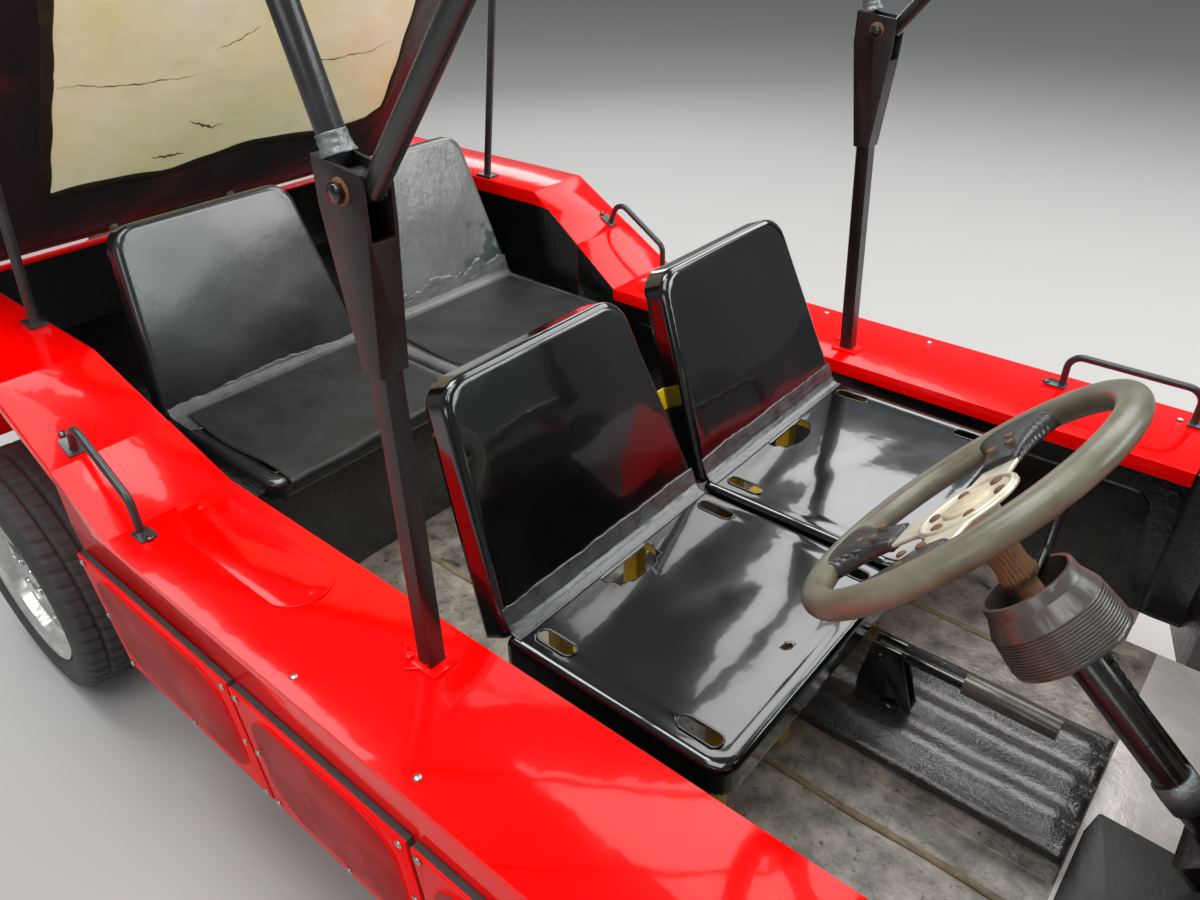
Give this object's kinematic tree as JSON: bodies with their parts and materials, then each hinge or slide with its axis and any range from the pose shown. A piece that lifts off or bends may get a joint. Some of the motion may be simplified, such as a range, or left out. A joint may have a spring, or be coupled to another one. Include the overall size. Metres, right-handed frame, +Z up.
{
  "type": "open-top utility car",
  "caption": "Small open-top utility car with flat box sides, bolted-on sheet seats, an upright hood frame with its rear curtain hung, and wheels that steer and turn.",
  "frame": {"origin": "on the ground under the middle of the car's overall box", "axes": "+X forward, +Y to the car's left, +Z up"},
  "size_m": [2.994, 1.364, 1.437],
  "materials": {
    "red_gloss": "gloss red enamel, rippled and dented",
    "red_satin": "satin dark red",
    "floor_black": "worn black paint with dirt and rust",
    "cabin_black": "rough gloss black",
    "seat_black": "gloss black sheet",
    "yellow_paint": "old yellow paint",
    "tyre_rubber": "black rubber",
    "rim_alloy": "cast alloy with a turned lip",
    "hood_tube": "dark grey paint",
    "hood_vinyl": "black vinyl with a maroon face",
    "mat_black": "thin rubber mat",
    "screen_glass": "clear laminated glass",
    "black_paint": "gloss black",
    "mirror_glass": "silvered glass",
    "chassis_black": "black chassis paint, rusty",
    "engine_iron": "painted cast iron",
    "wheel_grip": "worn grey-black grip",
    "boss_plastic": "ribbed black plastic",
    "lamp_glass": "fluted lens",
    "lamp_red": "red lens",
    "lamp_amber": "amber lens",
    "dial_black": "black dial",
    "cover_alloy": "painted cover"
  },
  "bodies": {
    "body": {"bulkhead": "cabin_black", "engine_block": "engine_iron", "exhaust": "chassis_black", "floor_pan": "floor_black", "front_bumper": "black_paint", "front_panel": "red_gloss", "front_suspension": "chassis_black", "front_wings": "red_gloss", "gear_lever": "chassis_black", "grab_handles": "black_paint", "handbrake": "chassis_black", "headlamps": "lamp_glass", "hood_curtain": "hood_vinyl", "indicators": "lamp_amber", "luggage_floor": "floor_black", "main_hoop": "hood_tube", "pedals": "chassis_black", "pontoon_covers": "cover_alloy", "pontoons": "red_gloss", "rear_arches": "red_gloss", "rear_bow": "hood_tube", "rear_bumpers": "black_paint", "rear_deck": "floor_black", "rear_seat_mats": "mat_black", "rear_suspension": "chassis_black", "seat_frames": "yellow_paint", "seat_front_left": "seat_black", "seat_front_right": "seat_black", "seat_rear_left": "seat_black", "seat_rear_right": "seat_black", "side_panels": "red_satin", "spare_rim": "rim_alloy", "spare_tyre": "tyre_rubber", "speedometer": "dial_black", "steering_boss": "boss_plastic", "steering_column": "chassis_black", "tail_lamps": "lamp_red", "tail_panel": "red_gloss"},
    "wheel_front_left": {"tyre_front_left": "tyre_rubber", "rim_front_left": "rim_alloy"},
    "wheel_front_right": {"tyre_front_right": "tyre_rubber", "rim_front_right": "rim_alloy"},
    "wheel_rear_left": {"tyre_rear_left": "tyre_rubber", "rim_rear_left": "rim_alloy"},
    "wheel_rear_right": {"tyre_rear_right": "tyre_rubber", "rim_rear_right": "rim_alloy"},
    "knuckle_left": {"knuckle_left": "chassis_black"},
    "knuckle_right": {"knuckle_right": "chassis_black"},
    "steering": {"steering_wheel": "wheel_grip"},
    "bonnet_lid": {"bonnet": "red_gloss"},
    "screen": {"windscreen_frame": "black_paint", "windscreen_glass": "screen_glass", "mirrors": "mirror_glass"},
    "hoop": {"front_hoop": "hood_tube"}
  },
  "joints": [
    {"name": "steering_turn", "type": "hinge", "parent": "body", "child": "steering", "pos_m": [0.498, -0.212, 0.907], "axis": [-0.7547, 0, 0.6561], "range_deg": [-420, 420]},
    {"name": "steer_left", "type": "hinge", "parent": "body", "child": "knuckle_left", "pos_m": [0.977, 0.552, 0.251], "axis": [0, 0, 1], "range_deg": [-28, 28]},
    {"name": "steer_right", "type": "hinge", "parent": "body", "child": "knuckle_right", "pos_m": [0.977, -0.552, 0.251], "axis": [0, 0, 1], "range_deg": [-28, 28]},
    {"name": "spin_front_left", "type": "hinge", "parent": "knuckle_left", "child": "wheel_front_left", "pos_m": [0.977, 0.602, 0.251], "axis": [0, 1, 0], "continuous": true},
    {"name": "spin_front_right", "type": "hinge", "parent": "knuckle_right", "child": "wheel_front_right", "pos_m": [0.977, -0.602, 0.251], "axis": [0, 1, 0], "continuous": true},
    {"name": "spin_rear_left", "type": "hinge", "parent": "body", "child": "wheel_rear_left", "pos_m": [-1.055, 0.587, 0.251], "axis": [0, 1, 0], "continuous": true},
    {"name": "spin_rear_right", "type": "hinge", "parent": "body", "child": "wheel_rear_right", "pos_m": [-1.055, -0.587, 0.251], "axis": [0, 1, 0], "continuous": true},
    {"name": "bonnet_hinge", "type": "hinge", "parent": "body", "child": "bonnet_lid", "pos_m": [0.918, 0, 0.8515], "axis": [0, -1, 0], "range_deg": [0, 55]},
    {"name": "screen_fold", "type": "hinge", "parent": "body", "child": "screen", "pos_m": [0.835, 0, 0.863], "axis": [0, -1, 0], "range_deg": [-95, 0]},
    {"name": "hoop_fold", "type": "hinge", "parent": "body", "child": "hoop", "pos_m": [0.03, 0, 1.186], "axis": [0, -1, 0], "range_deg": [0, 50]}
  ],
  "couplings": [
    {"joint": "steer_left", "follows": "steering_turn", "ratio": 0.066667},
    {"joint": "steer_right", "follows": "steering_turn", "ratio": 0.066667}
  ]
}
